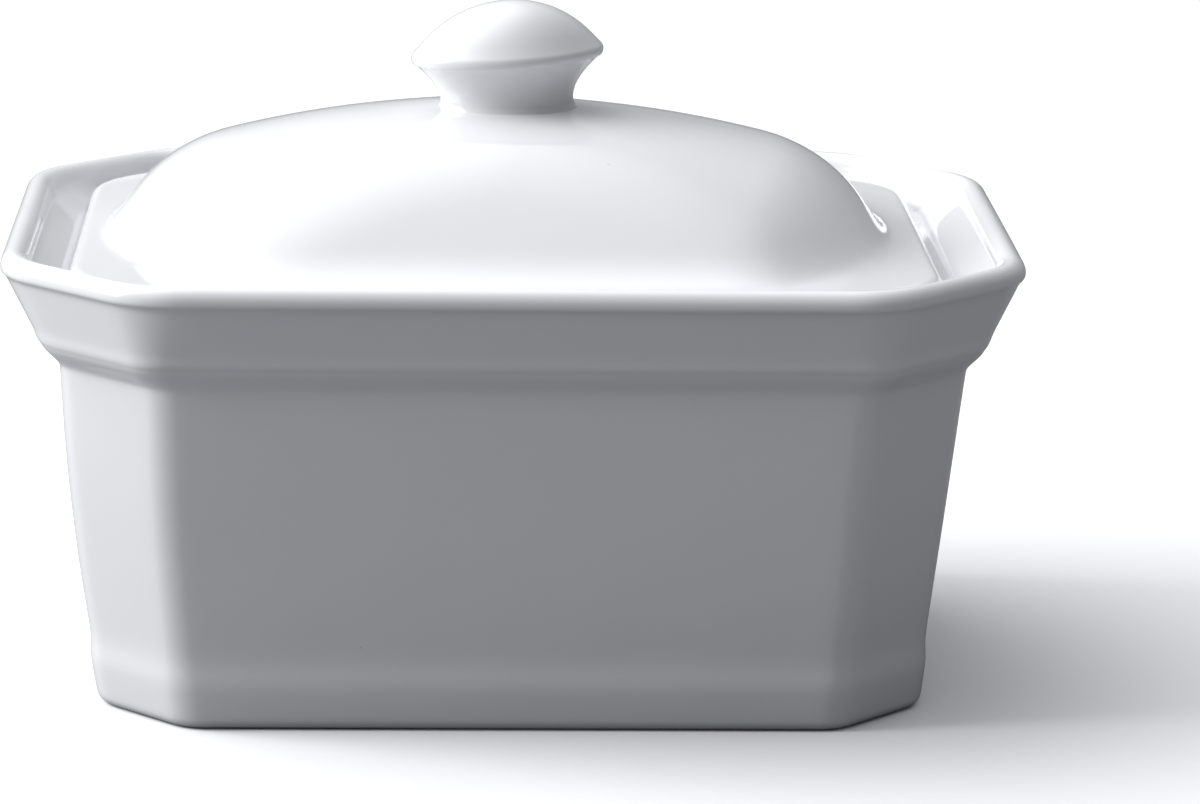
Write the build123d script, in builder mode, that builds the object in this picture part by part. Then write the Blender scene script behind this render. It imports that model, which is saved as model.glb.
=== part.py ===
"""Deep rectangular butter dish in glazed porcelain: dish, lifted lid and the lid's luted-on knob.

Millimetres, +Z up. X runs along the length, the front faces -Y, and the origin is the middle of the foot.
"""

import os
from math import cos, radians, sin, tan

from build123d import *

# Dish, outside. Every level is a rectangle with its corners cut at 45 degrees and eased.
RIM_LENGTH = 145.0
RIM_DEPTH = 106.0
RIM_HEIGHT = 65.5
RIM_CUT = 20.5
RIM_CORNER = 12.0
BODY_TOP_LENGTH = 128.0
BODY_TOP_DEPTH = 96.4
BODY_TOP_CUT = 14.6
SHOULDER_HEIGHT = 49.9
BODY_TAPER_END = 5.6
BODY_TAPER_FRONT = 5.0
FOOT_CUT = 12.2
WALL_CORNER = 5.0
FOOT_EDGE_RADIUS = 1.6

# The bead under the rim band, and the low band above the foot.
BEAD_RISE = 3.3
BEAD_OUT_END = 2.5
BEAD_OUT_FRONT = 1.6
FOOT_BAND_HEIGHT = 8.0
FOOT_BAND_OUT = 0.4
FOOT_BAND_FADE = 3.0

# Lip and walls.
LIP_RADIUS = 1.8
LIP_WIDTH_END = 4.5
LIP_WIDTH_FRONT = 4.2
WALL = 4.6
FLOOR = 5.0
FLOOR_RADIUS = 5.0
FLOOR_CORNER = 7.0

# Unglazed foot ring: a shallow recess leaves it standing.
FOOT_RING_INSET = 6.6
FOOT_RECESS = 1.2

# The ledge that the lid rests on.
LEDGE_HEIGHT = 59.2
LEDGE_LENGTH = 126.8
LEDGE_DEPTH = 94.6
LEDGE_CUT = 10.4
LEDGE_CORNER = 10.0
LEDGE_WIDTH_END = 5.0
LEDGE_WIDTH_FRONT = 3.2

# Lid. It lies a little to the left in its seat, as a loose lid does.
LID_GAP_END = 1.7
LID_GAP_SIDE = 0.6
LID_SHIFT = -1.2
SEAT_GAP = 0.05
FLANGE_THICKNESS = 4.2
FLANGE_EDGE_RADIUS = 1.6
DOME_OFF_CENTRE = -0.8
DOME_LENGTH = 115.0
DOME_DEPTH = 83.6
DOME_RISE = 18.5
LID_WALL = 4.2
ARCH_SPRING = 40.0
ARCH_DROP = 4.9
CREST_HALF_DEPTH = 22.5
CREST_DROP = 3.3
SLOPE_CROWN = 1.3
DOME_CUT = 20.0
DOME_CORNER = 14.0
DOME_CUT_MARGIN = 1.5
DOME_CUT_LEAN = 34.0

# Knob, an oval button on a waisted neck, set a few degrees off true.
KNOB_HALF_LENGTH = 14.2
KNOB_NECK_HALF_LENGTH = 9.5
KNOB_HEIGHT = 15.1
KNOB_EDGE_HEIGHT = 7.4
KNOB_EDGE_RADIUS = 0.9
KNOB_DEPTH_RATIO = 0.74
KNOB_ROOT = 2.0
KNOB_TILT = 3.6
KNOB_OFF_CENTRE = 0.6


def cut_rectangle(length, depth, cut, corner, height):
    """A level outline: a rectangle with 45 degree corner cuts and eased corners."""
    with BuildSketch(Plane.XY.offset(height)) as level:
        Rectangle(length, depth)
        chamfer(level.vertices(), cut)
        fillet(level.vertices(), corner)
    return level.sketch


def overrun(lean):
    """How far a leaning face runs past the finished lip before the lip is rounded."""
    return LIP_RADIUS * (tan(lean) + 1 / cos(lean) - 1)


def edges_at(part, height):
    """The edges that lie level at one height."""
    return part.edges().filter_by_position(Axis.Z, height - 0.01, height + 0.01)


# ---------------------------------------------------------------- dish
bead_height = SHOULDER_HEIGHT + BEAD_RISE
bead_length = BODY_TOP_LENGTH + 2 * BEAD_OUT_END
bead_depth = BODY_TOP_DEPTH + 2 * BEAD_OUT_FRONT
lip_length = RIM_LENGTH + 2 * overrun(radians(30))
lip_depth = RIM_DEPTH + 2 * overrun(radians(15))
foot_length = BODY_TOP_LENGTH - 2 * BODY_TAPER_END
foot_depth = BODY_TOP_DEPTH - 2 * BODY_TAPER_FRONT

fade_height = FOOT_BAND_HEIGHT + FOOT_BAND_FADE
fade_share = fade_height / SHOULDER_HEIGHT
fade_length = foot_length + 2 * BODY_TAPER_END * fade_share
fade_depth = foot_depth + 2 * BODY_TAPER_FRONT * fade_share
fade_cut = FOOT_CUT + (BODY_TOP_CUT - FOOT_CUT) * fade_share
band_share = FOOT_BAND_HEIGHT / SHOULDER_HEIGHT
low_band_length = foot_length + 2 * BODY_TAPER_END * band_share + 2 * FOOT_BAND_OUT
low_band_depth = foot_depth + 2 * BODY_TAPER_FRONT * band_share + 2 * FOOT_BAND_OUT

outside_levels = [
    cut_rectangle(foot_length, foot_depth, FOOT_CUT, WALL_CORNER, 0),
    cut_rectangle(low_band_length, low_band_depth, FOOT_CUT, WALL_CORNER, FOOT_BAND_HEIGHT),
    cut_rectangle(fade_length, fade_depth, fade_cut, WALL_CORNER, fade_height),
    cut_rectangle(BODY_TOP_LENGTH, BODY_TOP_DEPTH, BODY_TOP_CUT, WALL_CORNER, SHOULDER_HEIGHT),
    cut_rectangle(bead_length, bead_depth, BODY_TOP_CUT, WALL_CORNER, bead_height),
    cut_rectangle(lip_length, lip_depth, RIM_CUT, RIM_CORNER, RIM_HEIGHT),
]

lip_inner_length = lip_length - 2 * LIP_WIDTH_END
lip_inner_depth = lip_depth - 2 * LIP_WIDTH_FRONT
lip_inner_cut = RIM_CUT - 2.9
well_length = LEDGE_LENGTH - 2 * LEDGE_WIDTH_END
well_depth = LEDGE_DEPTH - 2 * LEDGE_WIDTH_FRONT
well_cut = BODY_TOP_CUT - 1
well_floor_length = foot_length - 2 * WALL
well_floor_depth = foot_depth - 2 * WALL
well_floor_cut = FOOT_CUT - 2

with BuildPart() as dish:
    loft(sections=outside_levels, ruled=True)
    fillet(edges_at(dish, 0), FOOT_EDGE_RADIUS)
    # The well that holds the butter.
    loft(
        sections=[
            cut_rectangle(well_floor_length, well_floor_depth, well_floor_cut, FLOOR_CORNER, FLOOR),
            cut_rectangle(well_length, well_depth, well_cut, WALL_CORNER, LEDGE_HEIGHT),
        ],
        ruled=True,
        mode=Mode.SUBTRACT,
    )
    # The wider recess above the ledge, which opens out to the lip.
    loft(
        sections=[
            cut_rectangle(LEDGE_LENGTH, LEDGE_DEPTH, LEDGE_CUT, LEDGE_CORNER, LEDGE_HEIGHT),
            cut_rectangle(lip_inner_length, lip_inner_depth, lip_inner_cut, RIM_CORNER, RIM_HEIGHT),
        ],
        ruled=True,
        mode=Mode.SUBTRACT,
    )
    fillet(edges_at(dish, RIM_HEIGHT), LIP_RADIUS)
    fillet(edges_at(dish, FLOOR), FLOOR_RADIUS)
    # The recess inside the foot ring.
    with BuildSketch(Plane.XY) as foot_recess:
        Rectangle(foot_length - 2 * FOOT_RING_INSET, foot_depth - 2 * FOOT_RING_INSET)
        chamfer(foot_recess.vertices(), FOOT_CUT - FOOT_RING_INSET / 2)
    extrude(amount=FOOT_RECESS, mode=Mode.SUBTRACT)

# ---------------------------------------------------------------- lid
lid_base = LEDGE_HEIGHT + SEAT_GAP
flange_top = lid_base + FLANGE_THICKNESS
crest = flange_top + DOME_RISE
flange_length = LEDGE_LENGTH - 2 * LID_GAP_END
flange_depth = LEDGE_DEPTH - 2 * LID_GAP_SIDE


def dome(inset, foot_height):
    """The pillow-shaped dome, or the hollow inside it where inset is the wall thickness."""
    top = crest - inset
    half_length = DOME_LENGTH / 2 - inset
    half_depth = DOME_DEPTH / 2 - inset
    spring = ARCH_SPRING - inset / 2
    shelf = CREST_HALF_DEPTH - inset / 2
    slope_mid = (shelf + half_depth) / 2 + SLOPE_CROWN * sin(radians(40))
    slope_mid_height = (top - CREST_DROP + flange_top) / 2 + SLOPE_CROWN * cos(radians(40))
    with BuildPart() as body:
        with BuildSketch(Plane.XZ) as long_section:
            with BuildLine():
                arch = ThreePointArc((-spring, top - ARCH_DROP), (0, top), (spring, top - ARCH_DROP))
                near = TangentArc(arch @ 1, (half_length, flange_top), tangent=arch % 1)
                far = TangentArc(arch @ 0, (-half_length, flange_top), tangent=(arch % 0) * -1)
                Polyline(near @ 1, (half_length, foot_height), (-half_length, foot_height), far @ 1)
            make_face()
        extrude(amount=half_depth, both=True)
        with BuildSketch(Plane.YZ) as cross_section:
            with BuildLine():
                shelf_end = (shelf, top - CREST_DROP)
                shelf_start = (-shelf, top - CREST_DROP)
                ThreePointArc(shelf_start, (0, top), shelf_end)
                ThreePointArc(shelf_end, (slope_mid, slope_mid_height), (half_depth, flange_top))
                Polyline((half_depth, flange_top), (half_depth, foot_height),
                         (-half_depth, foot_height), (-half_depth, flange_top))
                ThreePointArc((-half_depth, flange_top), (-slope_mid, slope_mid_height), shelf_start)
            make_face()
        extrude(amount=half_length, both=True, mode=Mode.INTERSECT)
        # A leaning column takes the four corners off, and stays clear of the sides.
        column = cut_rectangle(2 * (half_length + DOME_CUT_MARGIN), 2 * (half_depth + DOME_CUT_MARGIN),
                               DOME_CUT, DOME_CORNER, foot_height)
        extrude(column, amount=crest - foot_height, taper=DOME_CUT_LEAN, mode=Mode.INTERSECT)
    return body.part


with BuildPart() as lid:
    with Locations((LID_SHIFT, 0, 0)):
        add(cut_rectangle(flange_length, flange_depth, LEDGE_CUT - 0.4, LEDGE_CORNER, lid_base))
    extrude(amount=FLANGE_THICKNESS)
    fillet(edges_at(lid, flange_top), FLANGE_EDGE_RADIUS)
    fillet(edges_at(lid, lid_base), FLANGE_EDGE_RADIUS / 2)
    with Locations((LID_SHIFT + DOME_OFF_CENTRE, 0, 0)):
        add(dome(0, lid_base + FLANGE_THICKNESS / 2))
        add(dome(LID_WALL, lid_base), mode=Mode.SUBTRACT)

# ---------------------------------------------------------------- knob
tilt = radians(KNOB_TILT)
knob_seat = Vector(LID_SHIFT + KNOB_OFF_CENTRE, 0, crest)
knob_plane = Plane(origin=knob_seat, x_dir=(cos(tilt), 0, sin(tilt)), z_dir=(0, -1, 0))
knob_axis = Axis(knob_seat, (-sin(tilt), 0, cos(tilt)))
neck_bow = (KNOB_NECK_HALF_LENGTH + 1.4, 2.6)
cap_bow = (KNOB_HALF_LENGTH * 0.66, KNOB_HEIGHT * 0.802)

with BuildPart() as knob:
    with BuildSketch(knob_plane) as knob_profile:
        with BuildLine():
            Line((0, KNOB_HEIGHT), (0, -KNOB_ROOT))
            Line((0, -KNOB_ROOT), (KNOB_NECK_HALF_LENGTH, -KNOB_ROOT))
            ThreePointArc((KNOB_NECK_HALF_LENGTH, -KNOB_ROOT), neck_bow,
                          (KNOB_HALF_LENGTH, KNOB_EDGE_HEIGHT))
            ThreePointArc((KNOB_HALF_LENGTH, KNOB_EDGE_HEIGHT), cap_bow, (0, KNOB_HEIGHT))
        make_face()
        fillet(knob_profile.vertices().sort_by_distance(knob_plane.from_local_coords(
            Vector(KNOB_HALF_LENGTH, KNOB_EDGE_HEIGHT, 0)))[0], KNOB_EDGE_RADIUS)
    revolve(axis=knob_axis)
    scale(by=(1, KNOB_DEPTH_RATIO, 1))
    add(lid.part, mode=Mode.SUBTRACT)

# ---------------------------------------------------------------- write
os.makedirs("parts", exist_ok=True)
for name, piece in (("dish", dish), ("lid", lid), ("knob", knob)):
    piece.part.label = name
    export_step(piece.part, f"parts/{name}.step")
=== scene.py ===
"""Looks of a glazed porcelain butter dish: dish, domed lid and luted-on knob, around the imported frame.

Everything is in metres in the frame's own axes: X along the dish, the front faces -Y, Z up from the table.
"""

import logging
import math
from dataclasses import dataclass, field
from enum import Enum

import bmesh
import bpy
from mathutils import Matrix, Vector, noise

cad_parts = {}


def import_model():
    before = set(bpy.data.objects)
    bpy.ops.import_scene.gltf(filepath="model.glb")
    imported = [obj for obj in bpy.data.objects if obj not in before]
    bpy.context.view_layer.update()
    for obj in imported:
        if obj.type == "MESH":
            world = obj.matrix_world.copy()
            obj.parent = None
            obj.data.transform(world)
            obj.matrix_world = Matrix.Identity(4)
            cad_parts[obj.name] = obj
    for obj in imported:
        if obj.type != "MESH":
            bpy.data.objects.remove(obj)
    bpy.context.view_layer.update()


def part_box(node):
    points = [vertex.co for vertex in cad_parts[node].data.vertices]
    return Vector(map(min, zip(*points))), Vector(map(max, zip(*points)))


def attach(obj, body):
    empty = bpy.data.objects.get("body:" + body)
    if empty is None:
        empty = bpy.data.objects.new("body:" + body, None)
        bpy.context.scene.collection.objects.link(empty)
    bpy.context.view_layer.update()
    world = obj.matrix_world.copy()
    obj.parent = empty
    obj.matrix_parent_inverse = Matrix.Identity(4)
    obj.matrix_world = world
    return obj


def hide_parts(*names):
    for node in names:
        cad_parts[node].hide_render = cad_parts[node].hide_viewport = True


LOG = logging.getLogger("butter_dish")
MM = 0.001

# Unevenness of a cast surface: a wide wave with a closer one over it. The seed keeps it the same in each run.
NOISE_SEED = 1
WIDE_WAVE = 32 * MM
CLOSE_WAVE = 11 * MM
WIDE_SHARE = 0.75


class Slot(Enum):
    """Material slot names of the record; no piece here takes its finish from them."""

    DISH = "dish_glaze"
    LID = "lid_glaze"


# ---------------------------------------------------------------- small maths


def soft_min(first: float, second: float, reach: float) -> float:
    """Joins two heights with a rounded ridge where they cross.

    Args:
        first: One height.
        second: The other height.
        reach: Difference of height over which the ridge is rounded.

    Returns:
        The lower height, rounded down near the crossing.
    """
    overlap = max(reach - abs(first - second), 0.0) / reach
    return min(first, second) - overlap * overlap * reach / 4


def soft_max(first: float, second: float, reach: float) -> float:
    """Joins two heights with a rounded valley where they cross.

    Args:
        first: One height.
        second: The other height.
        reach: Difference of height over which the valley is rounded.

    Returns:
        The higher height, rounded up near the crossing.
    """
    return -soft_min(-first, -second, reach)


def ease(share: float) -> float:
    """Smooth step from 0 to 1.

    Args:
        share: How far along, clamped to between 0 and 1.

    Returns:
        The eased share.
    """
    share = min(max(share, 0.0), 1.0)
    return share * share * (3 - 2 * share)


# ---------------------------------------------------------------- outlines


@dataclass(frozen=True)
class CutRectangle:
    """A level outline: a rectangle with its corners cut at 45 degrees and the cuts eased.

    Attributes:
        half_x: Half the length along X.
        half_y: Half the depth along Y.
        cut: Length that each corner cut takes off both sides.
        corner: Radius that eases both ends of a cut.
    """

    half_x: float
    half_y: float
    cut: float
    corner: float

    END_STEPS = 9
    EASE_STEPS = 6
    CUT_STEPS = 5
    FRONT_STEPS = 13

    def grown(self, by: float) -> "CutRectangle":
        """Moves the outline out, or in where the distance is negative.

        Args:
            by: Distance on every side, the corner cuts included.

        Returns:
            The new outline.
        """
        return CutRectangle(self.half_x + by, self.half_y + by, self.cut + by * (2 - math.sqrt(2)),
                            max(self.corner + by, 0.1 * MM))

    def between(self, other: "CutRectangle", share: float) -> "CutRectangle":
        """Finds the outline part of the way to another one.

        Args:
            other: The outline at share 1.
            share: How far towards it.

        Returns:
            The outline between them.
        """
        mix = [a + (b - a) * share for a, b in zip(self.sizes(), other.sizes())]
        return CutRectangle(*mix)

    def scaled(self, share: float) -> "CutRectangle":
        """The outline drawn in towards the middle by a share."""
        return CutRectangle(*(size * share for size in self.sizes()))

    def sizes(self) -> tuple[float, float, float, float]:
        """The four sizes in order."""
        return self.half_x, self.half_y, self.cut, self.corner

    def quarter(self) -> list[tuple[float, float]]:
        """Finds a quarter of the outline, from the middle of the +X end towards the middle of the +Y side.

        Returns:
            The points, the last one just short of the middle of the side.
        """
        trim = self.corner * math.tan(math.radians(22.5))
        points = []
        end_top = self.half_y - self.cut - trim
        for step in range(self.END_STEPS):
            points.append((self.half_x, end_top * step / self.END_STEPS))
        for step in range(self.EASE_STEPS):
            turn = math.radians(45) * step / self.EASE_STEPS
            points.append((self.half_x - self.corner * (1 - math.cos(turn)),
                           end_top + self.corner * math.sin(turn)))
        start = (self.half_x - trim / math.sqrt(2), self.half_y - self.cut + trim / math.sqrt(2))
        stop = (self.half_x - self.cut + trim / math.sqrt(2), self.half_y - trim / math.sqrt(2))
        for step in range(self.CUT_STEPS):
            share = step / self.CUT_STEPS
            points.append((start[0] + (stop[0] - start[0]) * share, start[1] + (stop[1] - start[1]) * share))
        side_end = self.half_x - self.cut - trim
        for step in range(self.EASE_STEPS):
            turn = math.radians(45 + 45 * step / self.EASE_STEPS)
            points.append((side_end + self.corner * math.cos(turn),
                           self.half_y - self.corner * (1 - math.sin(turn))))
        for step in range(self.FRONT_STEPS):
            points.append((side_end * (1 - step / self.FRONT_STEPS), self.half_y))
        return points

    def points(self) -> list[tuple[float, float]]:
        """Finds the whole outline.

        Returns:
            All the points, anticlockwise from the middle of the +X end.
        """
        quarter = self.quarter()
        back_left = [(-x, y) for x, y in reversed(quarter[1:])]
        top_middle = [(0.0, self.half_y)]
        half = quarter + top_middle + back_left
        lower = [(-x, -y) for x, y in half]
        return half + lower


@dataclass(frozen=True)
class Level:
    """One ring of a shell: its outline and its height."""

    outline: CutRectangle
    height: float


class RingShell:
    """A closed shell made by drawing one ring of edges up, over and down through levels."""

    def __init__(self, name: str) -> None:
        """Starts an empty shell.

        Args:
            name: Name of the finished piece.
        """
        self.name = name
        self.mesh = bmesh.new()
        self.ring: list[bmesh.types.BMVert] = []

    def start(self, points: list[tuple[float, float, float]]) -> None:
        """Makes the first ring, which stays open.

        Args:
            points: Places of the ring's corners.
        """
        made = bmesh.ops.create_circle(self.mesh, cap_ends=False, radius=1.0, segments=len(points))
        self.ring = made["verts"]
        self.place(points)

    def place(self, points: list[tuple[float, float, float]]) -> None:
        """Moves the current ring's corners to their places.

        Args:
            points: Places of the corners, in the ring's order.
        """
        for vert, point in zip(self.ring, points):
            vert.co = point

    def draw_to(self, points: list[tuple[float, float, float]]) -> None:
        """Draws a new ring out of the current one.

        Args:
            points: Places of the new ring's corners.
        """
        count = len(self.ring)
        edges = []
        for index, vert in enumerate(self.ring):
            following = self.ring[(index + 1) % count]
            edges.append(next(e for e in vert.link_edges if e.other_vert(vert) is following))
        made = bmesh.ops.extrude_edge_only(self.mesh, edges=edges)
        fresh = {v for v in made["geom"] if isinstance(v, bmesh.types.BMVert)}
        following_ring = []
        for vert in self.ring:
            following_ring.append(next(e.other_vert(vert) for e in vert.link_edges
                                       if e.other_vert(vert) in fresh))
        self.ring = following_ring
        self.place(points)

    def close(self, ring: list[bmesh.types.BMVert]) -> None:
        """Draws an open ring together into the point in its middle.

        Args:
            ring: The ring's corners.
        """
        middle = sum((vert.co for vert in ring), Vector()) / len(ring)
        bmesh.ops.pointmerge(self.mesh, verts=ring, merge_co=middle)

    def finished(self, subdivisions: int) -> bpy.types.Object:
        """Makes the object, with outward normals, smooth shading and a subdivision surface.

        Args:
            subdivisions: Levels of the subdivision surface.

        Returns:
            The new object, linked to the scene.
        """
        return finish_mesh(self.mesh, self.name, subdivisions)


def finish_mesh(mesh: bmesh.types.BMesh, name: str, subdivisions: int) -> bpy.types.Object:
    """Turns a bmesh into a smooth-shaded object.

    Args:
        mesh: The finished bmesh, which is freed.
        name: Name of the object.
        subdivisions: Levels of the subdivision surface, or 0 for none.

    Returns:
        The new object, linked to the scene.
    """
    bmesh.ops.recalc_face_normals(mesh, faces=mesh.faces)
    for face in mesh.faces:
        face.smooth = True
    data = bpy.data.meshes.new(name)
    mesh.to_mesh(data)
    mesh.free()
    piece = bpy.data.objects.new(name, data)
    bpy.context.scene.collection.objects.link(piece)
    if subdivisions:
        surface = piece.modifiers.new("surface", "SUBSURF")
        surface.levels = subdivisions
        surface.render_levels = subdivisions
    return piece


def soft_hand(point: Vector, seed: float, amount: float) -> Vector:
    """The slight unevenness of a cast and hand-sponged surface.

    Args:
        point: Where on the piece.
        seed: Shifts the pattern from piece to piece.
        amount: Largest movement.

    Returns:
        How far the point moves.
    """
    wide = noise.noise_vector((point + Vector((seed, 0.0, 0.0))) / WIDE_WAVE)
    close = noise.noise_vector((point + Vector((0.0, seed, 0.0))) / CLOSE_WAVE)
    return (wide * WIDE_SHARE + close * (1 - WIDE_SHARE)) * amount


# ---------------------------------------------------------------- finishes


@dataclass(frozen=True)
class Glaze:
    """Clear glossy glaze over white porcelain.

    Attributes:
        name: Name of the material.
        tone: Colour where the glaze lies evenly.
        pooled: Slightly cooler colour where it lies thicker.
        roughness: Gloss of the glaze.
        ripple: Depth of the glaze's slow waviness.
        speck_share: How much of the surface the faint kiln specks take.
    """

    name: str
    tone: tuple[float, float, float]
    pooled: tuple[float, float, float]
    roughness: float
    ripple: float
    speck_share: float

    def material(self) -> bpy.types.Material:
        """Builds the node material.

        Returns:
            The material.
        """
        material = bpy.data.materials.new(self.name)
        material.use_nodes = True
        nodes = material.node_tree.nodes
        links = material.node_tree.links
        shader = nodes["Principled BSDF"]
        shader.inputs["IOR"].default_value = 1.52
        shader.inputs["Specular IOR Level"].default_value = 0.5
        shader.inputs["Coat Weight"].default_value = 0.25
        shader.inputs["Coat Roughness"].default_value = 0.03
        shader.inputs["Coat IOR"].default_value = 1.5
        place = nodes.new("ShaderNodeTexCoord")

        cloud = nodes.new("ShaderNodeTexNoise")
        cloud.inputs["Scale"].default_value = 38.0
        cloud.inputs["Detail"].default_value = 4.0
        links.new(place.outputs["Object"], cloud.inputs["Vector"])
        body = nodes.new("ShaderNodeMix")
        body.data_type = "RGBA"
        body.inputs["A"].default_value = (*self.tone, 1.0)
        body.inputs["B"].default_value = (*self.pooled, 1.0)
        links.new(cloud.outputs["Fac"], body.inputs["Factor"])

        cells = nodes.new("ShaderNodeTexVoronoi")
        cells.inputs["Scale"].default_value = 95.0
        links.new(place.outputs["Object"], cells.inputs["Vector"])
        speck = nodes.new("ShaderNodeMapRange")
        speck.inputs["From Min"].default_value = 0.0
        speck.inputs["From Max"].default_value = self.speck_share
        speck.inputs["To Min"].default_value = 0.55
        speck.inputs["To Max"].default_value = 0.0
        links.new(cells.outputs["Distance"], speck.inputs["Value"])
        speckled = nodes.new("ShaderNodeMix")
        speckled.data_type = "RGBA"
        speckled.inputs["B"].default_value = (0.47, 0.45, 0.42, 1.0)
        links.new(speck.outputs["Result"], speckled.inputs["Factor"])
        links.new(body.outputs["Result"], speckled.inputs["A"])
        links.new(speckled.outputs["Result"], shader.inputs["Base Color"])

        gloss = nodes.new("ShaderNodeTexNoise")
        gloss.inputs["Scale"].default_value = 210.0
        gloss.inputs["Detail"].default_value = 3.0
        links.new(place.outputs["Object"], gloss.inputs["Vector"])
        gloss_range = nodes.new("ShaderNodeMapRange")
        gloss_range.inputs["To Min"].default_value = self.roughness * 0.7
        gloss_range.inputs["To Max"].default_value = self.roughness * 1.4
        links.new(gloss.outputs["Fac"], gloss_range.inputs["Value"])
        links.new(gloss_range.outputs["Result"], shader.inputs["Roughness"])

        peel = nodes.new("ShaderNodeTexNoise")
        peel.inputs["Scale"].default_value = 150.0
        peel.inputs["Detail"].default_value = 2.0
        links.new(place.outputs["Object"], peel.inputs["Vector"])
        wave = nodes.new("ShaderNodeBump")
        wave.inputs["Strength"].default_value = 0.35
        wave.inputs["Distance"].default_value = self.ripple
        links.new(peel.outputs["Fac"], wave.inputs["Height"])
        links.new(wave.outputs["Normal"], shader.inputs["Normal"])
        return material


@dataclass(frozen=True)
class Bisque:
    """Bare ground porcelain, as on the foot ring that stood on the kiln shelf.

    Attributes:
        name: Name of the material.
        tone: Colour of the bare body.
    """

    name: str
    tone: tuple[float, float, float]

    def material(self) -> bpy.types.Material:
        """Builds the node material.

        Returns:
            The material.
        """
        material = bpy.data.materials.new(self.name)
        material.use_nodes = True
        nodes = material.node_tree.nodes
        links = material.node_tree.links
        shader = nodes["Principled BSDF"]
        shader.inputs["Specular IOR Level"].default_value = 0.3
        place = nodes.new("ShaderNodeTexCoord")
        grain = nodes.new("ShaderNodeTexNoise")
        grain.inputs["Scale"].default_value = 900.0
        grain.inputs["Detail"].default_value = 6.0
        links.new(place.outputs["Object"], grain.inputs["Vector"])
        tint = nodes.new("ShaderNodeValToRGB")
        tint.color_ramp.elements[0].color = (*(c * 0.9 for c in self.tone), 1.0)
        tint.color_ramp.elements[1].color = (*self.tone, 1.0)
        links.new(grain.outputs["Fac"], tint.inputs["Fac"])
        links.new(tint.outputs["Color"], shader.inputs["Base Color"])
        tooth = nodes.new("ShaderNodeMapRange")
        tooth.inputs["To Min"].default_value = 0.72
        tooth.inputs["To Max"].default_value = 0.9
        links.new(grain.outputs["Fac"], tooth.inputs["Value"])
        links.new(tooth.outputs["Result"], shader.inputs["Roughness"])
        rub = nodes.new("ShaderNodeBump")
        rub.inputs["Strength"].default_value = 0.5
        rub.inputs["Distance"].default_value = 0.03 * MM
        links.new(grain.outputs["Fac"], rub.inputs["Height"])
        links.new(rub.outputs["Normal"], shader.inputs["Normal"])
        return material


WHITE_GLAZE = Glaze("white_glaze", (0.80, 0.805, 0.82), (0.77, 0.778, 0.80), 0.06, 0.02 * MM, 0.03)
BARE_FOOT = Bisque("bare_foot", (0.74, 0.72, 0.68))


# ---------------------------------------------------------------- dish


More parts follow.
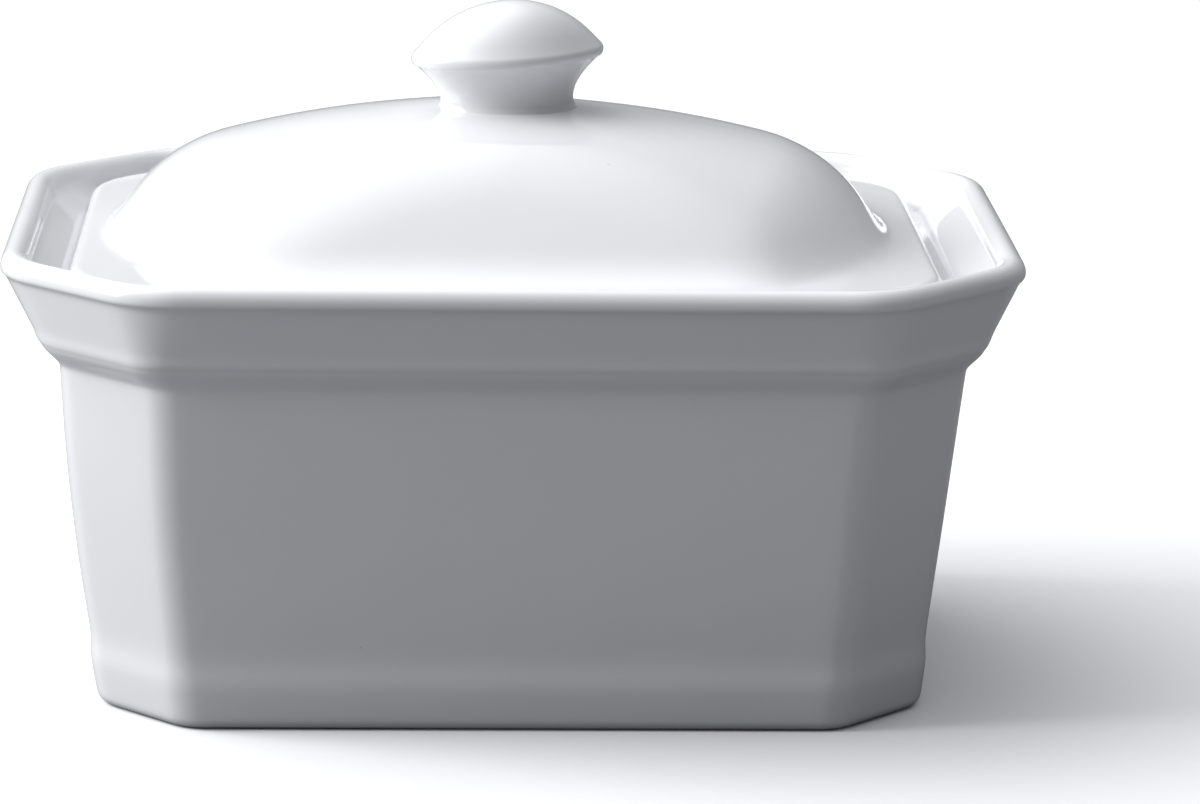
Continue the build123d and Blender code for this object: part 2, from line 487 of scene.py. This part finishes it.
@dataclass
class Dish:
    """The deep dish: tapered body, bead, flared band, rolled lip, ledge and well.

    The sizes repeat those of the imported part; the lip's height is read from the frame.
    """

    rim: CutRectangle = CutRectangle(72.5 * MM, 53.0 * MM, 20.2 * MM, 15.0 * MM)
    bead: CutRectangle = CutRectangle(66.5 * MM, 49.8 * MM, 15.2 * MM, 7.5 * MM)
    body_top: CutRectangle = CutRectangle(64.0 * MM, 48.2 * MM, 14.6 * MM, 7.0 * MM)
    foot: CutRectangle = CutRectangle(58.4 * MM, 43.2 * MM, 12.2 * MM, 6.5 * MM)
    ledge: CutRectangle = CutRectangle(63.4 * MM, 47.3 * MM, 12.4 * MM, 15.0 * MM)
    well_top: CutRectangle = CutRectangle(58.4 * MM, 44.1 * MM, 12.6 * MM, 8.0 * MM)
    well_floor: CutRectangle = CutRectangle(53.8 * MM, 38.6 * MM, 9.2 * MM, 8.0 * MM)
    lip_inner: CutRectangle = CutRectangle(68.4 * MM, 48.9 * MM, 17.2 * MM, 15.0 * MM)
    height: float = 65.5 * MM
    shoulder_height: float = 49.9 * MM
    bead_rise: float = 3.3 * MM
    bead_roll: float = 0.18 * MM
    lip_radius: float = 2.2 * MM
    ledge_height: float = 59.2 * MM
    floor_height: float = 5.0 * MM
    foot_radius: float = 1.6 * MM
    floor_radius: float = 6.0 * MM
    foot_band_out: float = 0.6 * MM
    foot_band_height: float = 7.2 * MM
    foot_band_fade: float = 2.6 * MM
    foot_ring_width: float = 5.0 * MM
    foot_recess: float = 1.2 * MM
    unevenness: float = 0.16 * MM
    left_bow: float = 0.9 * MM
    seed: float = 3.1
    pieces: list[bpy.types.Object] = field(default_factory=list)

    def wall_at(self, height: float) -> CutRectangle:
        """Finds the body's outline at a height, with the low band above the foot.

        Args:
            height: Height above the table.

        Returns:
            The outline.
        """
        plain = self.foot.between(self.body_top, height / self.shoulder_height)
        band = self.foot_band_out * (1 - ease((height - self.foot_band_height) / self.foot_band_fade))
        return plain.grown(band)

    def outside(self) -> list[Level]:
        """Finds the levels of the outer side.

        Returns:
            Levels from the foot's outer edge up to the top of the lip.
        """
        levels = []
        for turn in range(0, 91, 15):
            out = self.foot_radius * math.sin(math.radians(turn))
            rise = self.foot_radius * (1 - math.cos(math.radians(turn)))
            levels.append(Level(self.wall_at(rise).grown(out - self.foot_radius), rise))
        wall_run = self.shoulder_height - 1.0 * MM - self.foot_radius
        for step in range(1, 21):
            rise = self.foot_radius + wall_run * (step / 20) ** 1.15
            levels.append(Level(self.wall_at(rise), rise))
        bead_height = self.shoulder_height + self.bead_rise
        for share in (0.0, 0.12, 0.3, 0.5, 0.72, 0.9, 1.0):
            outline = self.wall_at(self.shoulder_height).between(self.bead, ease(share) * 0.7 + share * 0.3)
            levels.append(Level(outline, self.shoulder_height + self.bead_rise * share))
        lip_centre = self.height - self.lip_radius
        tangent = self.rim.grown(-0.28 * self.lip_radius)
        for step in range(1, 15):
            share = (step / 14) ** 1.3
            rise = bead_height + (lip_centre - 0.9 * MM - bead_height) * share
            roll = self.bead_roll * math.exp(-((rise - bead_height - 0.8 * MM) / (0.9 * MM)) ** 2)
            levels.append(Level(self.bead.between(tangent, share).grown(roll), rise))
        for turn in range(-15, 91, 12):
            out = self.lip_radius * (math.cos(math.radians(turn)) - 1)
            rise = lip_centre + self.lip_radius * math.sin(math.radians(turn))
            levels.append(Level(self.rim.grown(out), rise))
        return levels

    def inside(self) -> list[Level]:
        """Finds the levels of the inner side.

        Returns:
            Levels from the top of the lip, down the recess and the well, to the floor.
        """
        levels = []
        lip_centre = self.height - self.lip_radius
        for turn in range(15, 91, 15):
            out = self.lip_radius * (1 - math.sin(math.radians(turn)))
            rise = lip_centre + self.lip_radius * math.cos(math.radians(turn))
            levels.append(Level(self.lip_inner.grown(out), rise))
        for step in range(1, 8):
            share = step / 7
            rise = lip_centre + (self.ledge_height + 1.0 * MM - lip_centre) * share
            levels.append(Level(self.lip_inner.between(self.ledge, ease(share) * 0.3 + share * 0.7), rise))
        levels.append(Level(self.ledge.grown(-0.35 * MM), self.ledge_height + 0.3 * MM))
        levels.append(Level(self.ledge.grown(-1.1 * MM), self.ledge_height))
        levels.append(Level(self.well_top.grown(0.9 * MM), self.ledge_height))
        levels.append(Level(self.well_top.grown(0.3 * MM), self.ledge_height - 0.2 * MM))
        levels.append(Level(self.well_top, self.ledge_height - 0.8 * MM))
        radius = self.floor_radius
        for step in range(1, 11):
            share = step / 10
            rise = self.ledge_height - 0.8 * MM + (self.floor_height + radius - self.ledge_height) * share
            levels.append(Level(self.well_top.between(self.well_floor, share), rise))
        for turn in range(15, 91, 15):
            drop = radius * math.sin(math.radians(turn))
            pull = radius * (1 - math.cos(math.radians(turn)))
            levels.append(Level(self.well_floor.grown(-pull), self.floor_height + radius - drop))
        return levels

    def ring_points(self, level: Level) -> list[tuple[float, float, float]]:
        """Places a level's corners, moved by the casting's slight unevenness and the left wall's bow.

        The foot stays flat, and the rim band is held straighter than the walls.

        Args:
            level: The level.

        Returns:
            The places of its corners.
        """
        hold = ease(level.height / (6 * MM)) * (1 - 0.6 * ease((level.height - 50 * MM) / (8 * MM)))
        bow = 0.0
        if level.height < self.shoulder_height:
            bow = self.left_bow * math.sin(math.pi * level.height / self.shoulder_height)
        placed = []
        for x, y in level.outline.points():
            at = Vector((x, y, level.height))
            at += soft_hand(at, self.seed, self.unevenness * hold)
            at.x += bow * min(x, 0.0) / self.foot.half_x
            placed.append(tuple(at))
        return placed

    def close_flat(self, shell: RingShell, outline: CutRectangle, height: float) -> None:
        """Draws the current ring inwards over a flat floor and closes it.

        Args:
            shell: The shell being drawn.
            outline: Outline of the flat floor.
            height: Height of the floor.
        """
        for share in (0.8, 0.55, 0.3, 0.1):
            shell.draw_to([(x, y, height) for x, y in outline.scaled(share).points()])
        shell.close(shell.ring)

    def build(self) -> None:
        """Builds the dish and dresses it."""
        shell = RingShell("porcelain_dish")
        outside = self.outside()
        foot_edge = outside[0].outline
        recess_edge = foot_edge.grown(-self.foot_ring_width)
        recess = recess_edge.grown(-0.8 * MM)
        shell.start([(x, y, self.foot_recess) for x, y in recess.scaled(0.1).points()])
        start_ring = list(shell.ring)
        for share in (0.3, 0.55, 0.8, 0.97, 1.0):
            shell.draw_to([(x, y, self.foot_recess) for x, y in recess.scaled(share).points()])
        shell.draw_to([(x, y, 0.2 * MM) for x, y in recess_edge.grown(-0.1 * MM).points()])
        shell.draw_to([(x, y, 0.0) for x, y in recess_edge.grown(0.2 * MM).points()])
        inside = self.inside()
        for level in outside + inside:
            shell.draw_to(self.ring_points(level))
        self.close_flat(shell, inside[-1].outline, inside[-1].height)
        shell.close(start_ring)
        piece = shell.finished(subdivisions=1)
        piece.data.materials.append(WHITE_GLAZE.material())
        piece.data.materials.append(BARE_FOOT.material())
        for face in piece.data.polygons:
            if max(piece.data.vertices[v].co.z for v in face.vertices) < 0.15 * MM:
                face.material_index = 1
        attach(piece, "dish")
        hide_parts("dish")
        self.pieces.append(piece)
        LOG.info("dish: %d faces", len(piece.data.polygons))


# ---------------------------------------------------------------- lid


@dataclass
class Lid:
    """The domed lid: flange, soft-ridged dome and hollow underside."""

    flange: CutRectangle = CutRectangle(61.7 * MM, 46.7 * MM, 12.2 * MM, 15.0 * MM)
    shift: float = -1.2 * MM
    dome_off_centre: float = -0.8 * MM
    base_height: float = 59.25 * MM
    flange_thickness: float = 4.2 * MM
    rise: float = 18.5 * MM
    wall: float = 4.2 * MM
    half_length: float = 55.6 * MM
    half_depth: float = 41.8 * MM
    spring: float = 40.0 * MM
    crest_radius: float = 166.0 * MM
    end_radius: float = 24.0 * MM
    crown_radius: float = 76.0 * MM
    shelf: float = 22.5 * MM
    slope: float = 0.76
    slope_radius: float = 75.0 * MM
    plan_radius: float = 72.0 * MM
    ridge: float = 3.0 * MM
    valley: float = 4.0 * MM
    flange_edge: float = 1.7 * MM
    hollow_margin: float = 8.6 * MM
    hollow_rows: int = 26
    dome_rows: int = 57
    unevenness: float = 0.10 * MM
    seed: float = 7.7
    pieces: list[bpy.types.Object] = field(default_factory=list)

    @property
    def flange_top(self) -> float:
        """Height of the flange's upper face."""
        return self.base_height + self.flange_thickness

    @property
    def crest(self) -> float:
        """Height of the dome's top."""
        return self.flange_top + self.rise

    def arch_drop(self, x: float) -> float:
        """Finds how far the long arch has fallen.

        Args:
            x: Distance from the dome's middle.

        Returns:
            The drop below the crest.
        """
        x = abs(x)
        if x <= self.spring:
            return self.crest_radius - math.sqrt(self.crest_radius ** 2 - x * x)
        lean = math.asin(self.spring / self.crest_radius)
        start = self.crest_radius * (1 - math.cos(lean))
        centre_x = self.spring - self.end_radius * math.sin(lean)
        run = min((x - centre_x) / self.end_radius, 0.995)
        return start + self.end_radius * (math.cos(lean) - math.sqrt(1 - run * run))

    def surface(self, x: float, y: float, inset: float = 0.0) -> float:
        """Height of the dome over a place.

        Args:
            x: Along the lid.
            y: Across the lid.
            inset: Wall thickness, for the hollow inside.

        Returns:
            The height, which falls below the flange outside the dome.
        """
        x -= self.dome_off_centre
        grow = 1 + inset / self.half_depth
        along = abs(x) * (1 + inset / self.half_length) + y * y / (2 * self.plan_radius)
        top = self.crest - inset - self.arch_drop(along)
        crowned = top - (y * grow) ** 2 / (2 * self.crown_radius)
        across = max(abs(y) - self.shelf + inset * 0.4, 0.0)
        front = (self.crest - inset - self.shelf ** 2 / (2 * self.crown_radius)
                 - self.slope * (abs(y) - self.shelf + inset * 0.4) - across ** 2 / (2 * self.slope_radius))
        return soft_min(crowned, front, self.ridge)

    def outer_height(self, x: float, y: float) -> float:
        """Height of the lid's upper face, flange and dome together."""
        return soft_max(self.flange_top, self.surface(x, y), self.valley)

    def touched(self, at: Vector) -> tuple[float, float, float]:
        """A place on the lid, moved by the casting's slight unevenness."""
        return tuple(at + soft_hand(at, self.seed, self.unevenness))

    def build(self) -> None:
        """Builds the lid and dresses it."""
        shell = RingShell("porcelain_lid")
        edge = self.flange_edge
        hollow_edge = self.flange.grown(-self.hollow_margin)
        first_share = 0.04
        first = hollow_edge.scaled(first_share)
        shell.start([(x, y, self.surface(x, y, self.wall)) for x, y in first.points()])
        start_ring = list(shell.ring)
        for step in range(1, self.hollow_rows + 1):
            share = first_share + (1 - first_share) * step / self.hollow_rows
            placed = []
            for x, y in hollow_edge.scaled(share).points():
                height = self.surface(x, y, self.wall)
                placed.append((x, y, max(height, self.base_height + 0.8 * MM)))
            shell.draw_to(placed)
        for out, rise in ((0.3, 0.3), (0.9, 0.0), (4.0, 0.0), (7.0, 0.0)):
            outline = hollow_edge.grown(out * MM)
            shell.draw_to([(x, y, self.base_height + rise * MM) for x, y in outline.points()])
        for turn in range(-90, 91, 15):
            out = edge * (math.cos(math.radians(turn)) - 1)
            lift = edge * math.sin(math.radians(turn))
            middle = self.base_height + edge if turn < 0 else self.flange_top - edge
            outline = self.flange.grown(out)
            shell.draw_to([self.touched(Vector((x, y, middle + lift))) for x, y in outline.points()])
        inner = self.flange.grown(-edge)
        for step in range(1, self.dome_rows):
            share = 1 - (step / self.dome_rows) ** 1.15
            placed = []
            for x, y in inner.scaled(share).points():
                placed.append(self.touched(Vector((x, y, self.outer_height(x, y)))))
            shell.draw_to(placed)
        shell.close(shell.ring)
        shell.close(start_ring)
        bmesh.ops.translate(shell.mesh, vec=(self.shift, 0.0, 0.0), verts=shell.mesh.verts)
        piece = shell.finished(subdivisions=1)
        piece.data.materials.append(WHITE_GLAZE.material())
        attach(piece, "lid")
        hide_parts("lid")
        self.pieces.append(piece)
        LOG.info("lid: %d faces", len(piece.data.polygons))


# ---------------------------------------------------------------- knob


@dataclass
class Knob:
    """The oval button on its waisted neck, set a few degrees off true."""

    lid: Lid
    half_length: float = 14.0 * MM
    neck_half_length: float = 9.6 * MM
    height: float = 15.1 * MM
    edge_height: float = 7.4 * MM
    edge_radius: float = 1.2 * MM
    depth_ratio: float = 0.74
    root: float = 1.0 * MM
    tilt_degrees: float = 3.6
    off_centre: float = 0.4 * MM
    steps: int = 96
    unevenness: float = 0.08 * MM
    seed: float = 11.3
    pieces: list[bpy.types.Object] = field(default_factory=list)

    def profile(self) -> list[tuple[float, float]]:
        """Finds the turned profile, as radius and height above the dome.

        Returns:
            Points from the root, up the neck, round the edge and over the cap.
        """
        neck = self.neck_half_length
        points = [(neck + 1.2 * MM, -self.root), (neck + 0.7 * MM, -0.35 * MM), (neck + 0.25 * MM, 0.15 * MM)]
        neck_top = self.edge_height - 0.9 * MM
        for step in range(0, 9):
            share = step / 8
            flare = (self.half_length - 0.7 * MM - neck) * share ** 1.7
            points.append((neck + flare, 0.8 * MM + (neck_top - 0.8 * MM) * share))
        for turn in range(-40, 61, 20):
            points.append((self.half_length - self.edge_radius * (1 - math.cos(math.radians(turn))),
                           self.edge_height + self.edge_radius * math.sin(math.radians(turn))))
        cap_radius = (self.half_length ** 2 + (self.height - self.edge_height) ** 2) / (
            2 * (self.height - self.edge_height))
        reach = self.half_length - 1.3 * self.edge_radius
        for step in range(0, 14):
            run = reach * (1 - step / 14)
            points.append((run, self.height - cap_radius + math.sqrt(cap_radius ** 2 - run * run)))
        points.append((0.0, self.height))
        return points

    def build(self) -> None:
        """Builds the knob by turning its profile, then ovals, seats and tilts it."""
        mesh = bmesh.new()
        verts = [mesh.verts.new((r, 0.0, z)) for r, z in self.profile()]
        edges = [mesh.edges.new(pair) for pair in zip(verts, verts[1:])]
        bmesh.ops.spin(mesh, geom=verts + edges, cent=(0, 0, 0), axis=(0, 0, 1), dvec=(0, 0, 0),
                       angle=math.tau, steps=self.steps, use_merge=True, use_duplicate=False)
        bmesh.ops.remove_doubles(mesh, verts=mesh.verts, dist=0.005 * MM)
        rim = [e for e in mesh.edges if e.is_boundary]
        bmesh.ops.contextual_create(mesh, geom=rim)
        bmesh.ops.scale(mesh, vec=(1.0, self.depth_ratio, 1.0), verts=mesh.verts)
        lean = Matrix.Identity(3)
        lean[2][0] = math.tan(math.radians(self.tilt_degrees))
        bmesh.ops.transform(mesh, matrix=lean.to_4x4(), verts=mesh.verts)
        bmesh.ops.translate(mesh, vec=(self.off_centre, 0.0, self.lid.crest), verts=mesh.verts)
        for vert in mesh.verts:
            above = vert.co.z - self.lid.crest
            hold = 1 - ease((above + self.root) / (4 * MM))
            fall = self.lid.outer_height(vert.co.x, vert.co.y) - self.lid.crest
            lean = (vert.co.x - self.off_centre) * math.tan(math.radians(self.tilt_degrees))
            vert.co.z += (fall - lean) * hold
            vert.co += soft_hand(vert.co, self.seed, self.unevenness)
        bmesh.ops.translate(mesh, vec=(self.lid.shift, 0.0, 0.0), verts=mesh.verts)
        piece = finish_mesh(mesh, "porcelain_knob", 1)
        piece.data.materials.append(WHITE_GLAZE.material())
        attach(piece, "lid")
        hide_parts("knob")
        self.pieces.append(piece)
        LOG.info("knob: %d faces", len(piece.data.polygons))


# ---------------------------------------------------------------- studio


@dataclass(frozen=True)
class SoftBox:
    """A square soft light.

    Attributes:
        name: Name of the light.
        place: Where it hangs, in metres.
        aim: What it points at.
        size: Its width and height.
        power: In watts.
    """

    name: str
    place: tuple[float, float, float]
    aim: tuple[float, float, float]
    size: tuple[float, float]
    power: float

    def hang(self) -> None:
        """Adds the light to the scene."""
        data = bpy.data.lights.new(self.name, "AREA")
        data.shape = "RECTANGLE"
        data.size, data.size_y = self.size
        data.energy = self.power
        lamp = bpy.data.objects.new(self.name, data)
        lamp.location = self.place
        lamp.rotation_euler = (Vector(self.aim) - Vector(self.place)).to_track_quat("-Z", "Y").to_euler()
        bpy.context.scene.collection.objects.link(lamp)


def smooth_ramp(tree: bpy.types.NodeTree, source: bpy.types.NodeSocket, span: tuple[float, float],
                result: tuple[float, float]) -> bpy.types.NodeSocket:
    """Adds a smooth ramp from one value to another.

    Args:
        tree: The node tree that takes the ramp.
        source: What drives it.
        span: Values of the source where the ramp starts and stops.
        result: Values of the ramp at those places.

    Returns:
        The ramp's output.
    """
    ramp = tree.nodes.new("ShaderNodeMapRange")
    ramp.interpolation_type = "SMOOTHSTEP"
    ramp.inputs["From Min"].default_value, ramp.inputs["From Max"].default_value = span
    ramp.inputs["To Min"].default_value, ramp.inputs["To Max"].default_value = result
    tree.links.new(source, ramp.inputs["Value"])
    return ramp.outputs["Result"]


@dataclass
class Studio:
    """Floor (pale to the camera, dark grey to bounced light as painted shade), soft lights, white surround
    and the camera.
    """

    focal_length: float = 157.6
    distance: float = 0.7744
    downward_degrees: float = 13.55
    sideways_degrees: float = -2.25
    roll_degrees: float = 0.84
    aim_right: float = 13.38 * MM
    aim_height: float = 37.25 * MM
    floor_half: float = 3.0
    horizon: float = 0.04
    zenith: float = 0.53
    left_gain: float = 0.16
    back_gain: float = 0.25
    key_direction: tuple[float, float, float] = (-0.50, 0.28, 0.82)
    key_reach_degrees: float = 48.0
    key_gain: float = 1.95
    lights: tuple[SoftBox, ...] = (
        SoftBox("left_window", (-0.80, -0.02, 0.46), (0.0, 0.0, 0.05), (0.55, 0.5), 8.2),
    )

    def lay_floor(self) -> None:
        """Lays the floor: pale where the camera sees it, dark grey to bounced light, which paints shade onto
        the dish's front.
        """
        mesh = bmesh.new()
        bmesh.ops.create_grid(mesh, x_segments=8, y_segments=8, size=self.floor_half)
        floor = finish_mesh(mesh, "floor", 0)
        material = bpy.data.materials.new("pale_floor_dark_bounce_shade")
        material.use_nodes = True
        nodes = material.node_tree.nodes
        links = material.node_tree.links
        shader = nodes["Principled BSDF"]
        seen = nodes.new("ShaderNodeLightPath")
        # Painted shade: the floor is pale to camera rays but dark grey to every other ray, so it bounces
        # little light and darkens the dish's front face.
        tone = nodes.new("ShaderNodeMix")
        tone.data_type = "RGBA"
        tone.inputs["A"].default_value = (0.22, 0.22, 0.23, 1.0)
        tone.inputs["B"].default_value = (0.93, 0.93, 0.94, 1.0)
        links.new(seen.outputs["Is Camera Ray"], tone.inputs["Factor"])
        links.new(tone.outputs["Result"], shader.inputs["Base Color"])
        shader.inputs["Roughness"].default_value = 0.7
        shader.inputs["Specular IOR Level"].default_value = 0.1
        floor.data.materials.append(material)

    def surround(self) -> None:
        """Sets the soft white surround."""
        world = bpy.data.worlds.new("studio")
        world.use_nodes = True
        nodes = world.node_tree.nodes
        links = world.node_tree.links
        fill = nodes["Background"]
        fill.inputs["Color"].default_value = (0.96, 0.97, 1.0, 1.0)
        where = nodes.new("ShaderNodeTexCoord")
        axes = nodes.new("ShaderNodeSeparateXYZ")
        links.new(where.outputs["Generated"], axes.inputs["Vector"])
        facing = nodes.new("ShaderNodeVectorMath")
        facing.operation = "DOT_PRODUCT"
        facing.inputs[1].default_value = Vector(self.key_direction).normalized()
        links.new(where.outputs["Generated"], facing.inputs[0])
        key_edge = math.cos(math.radians(self.key_reach_degrees))
        tree = world.node_tree
        height = smooth_ramp(tree, axes.outputs["Z"], (0.10, 0.95), (self.horizon, self.zenith))
        left = smooth_ramp(tree, axes.outputs["X"], (-1.0, 0.6), (self.left_gain, 0.0))
        behind = smooth_ramp(tree, axes.outputs["Y"], (-0.2, 1.0), (0.0, self.back_gain))
        key = smooth_ramp(tree, facing.outputs["Value"], (key_edge, 1.0), (0.0, self.key_gain))
        total = height
        for part in (left, behind, key):
            glow = nodes.new("ShaderNodeMath")
            glow.operation = "ADD"
            links.new(total, glow.inputs[0])
            links.new(part, glow.inputs[1])
            total = glow.outputs["Value"]
        links.new(total, fill.inputs["Strength"])
        page = nodes.new("ShaderNodeBackground")
        page.inputs["Color"].default_value = (1.0, 1.0, 1.0, 1.0)
        page.inputs["Strength"].default_value = 1.0
        seen = nodes.new("ShaderNodeLightPath")
        chosen = nodes.new("ShaderNodeMixShader")
        links.new(seen.outputs["Is Camera Ray"], chosen.inputs["Fac"])
        links.new(fill.outputs["Background"], chosen.inputs[1])
        links.new(page.outputs["Background"], chosen.inputs[2])
        links.new(chosen.outputs["Shader"], nodes["World Output"].inputs["Surface"])
        bpy.context.scene.world = world

    def set_camera(self) -> None:
        """Places the camera by its distance and three angles from the aim."""
        down = math.radians(self.downward_degrees)
        side = math.radians(self.sideways_degrees)
        roll = math.radians(self.roll_degrees)
        forward = Vector((-math.sin(side) * math.cos(down), math.cos(side) * math.cos(down), -math.sin(down)))
        level_right = Vector((math.cos(side), math.sin(side), 0.0))
        level_up = level_right.cross(forward)
        right = level_right * math.cos(roll) + level_up * math.sin(roll)
        up = level_up * math.cos(roll) - level_right * math.sin(roll)
        aim = right * self.aim_right + Vector((0.0, 0.0, self.aim_height))
        data = bpy.data.cameras.new("camera")
        data.sensor_width = 36.0
        data.lens = self.focal_length
        data.clip_start = 0.01
        camera = bpy.data.objects.new("camera", data)
        turned = Matrix((right, up, -forward)).transposed().to_4x4()
        turned.translation = aim - forward * self.distance
        camera.matrix_world = turned
        bpy.context.scene.collection.objects.link(camera)
        bpy.context.scene.camera = camera

    def build(self) -> None:
        """Sets the whole studio."""
        self.lay_floor()
        self.surround()
        for light in self.lights:
            light.hang()
        self.set_camera()
        bpy.context.scene.view_settings.view_transform = "Standard"


def main() -> None:
    """Builds the pieces in order around the frame."""
    logging.basicConfig(level=logging.INFO)
    noise.seed_set(NOISE_SEED)
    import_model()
    dish = Dish(height=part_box("dish")[1][2])
    dish.build()
    lid = Lid(base_height=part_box("lid")[0][2])
    lid.build()
    Knob(lid=lid).build()
    Studio().build()


if __name__ == "__main__":
    main()
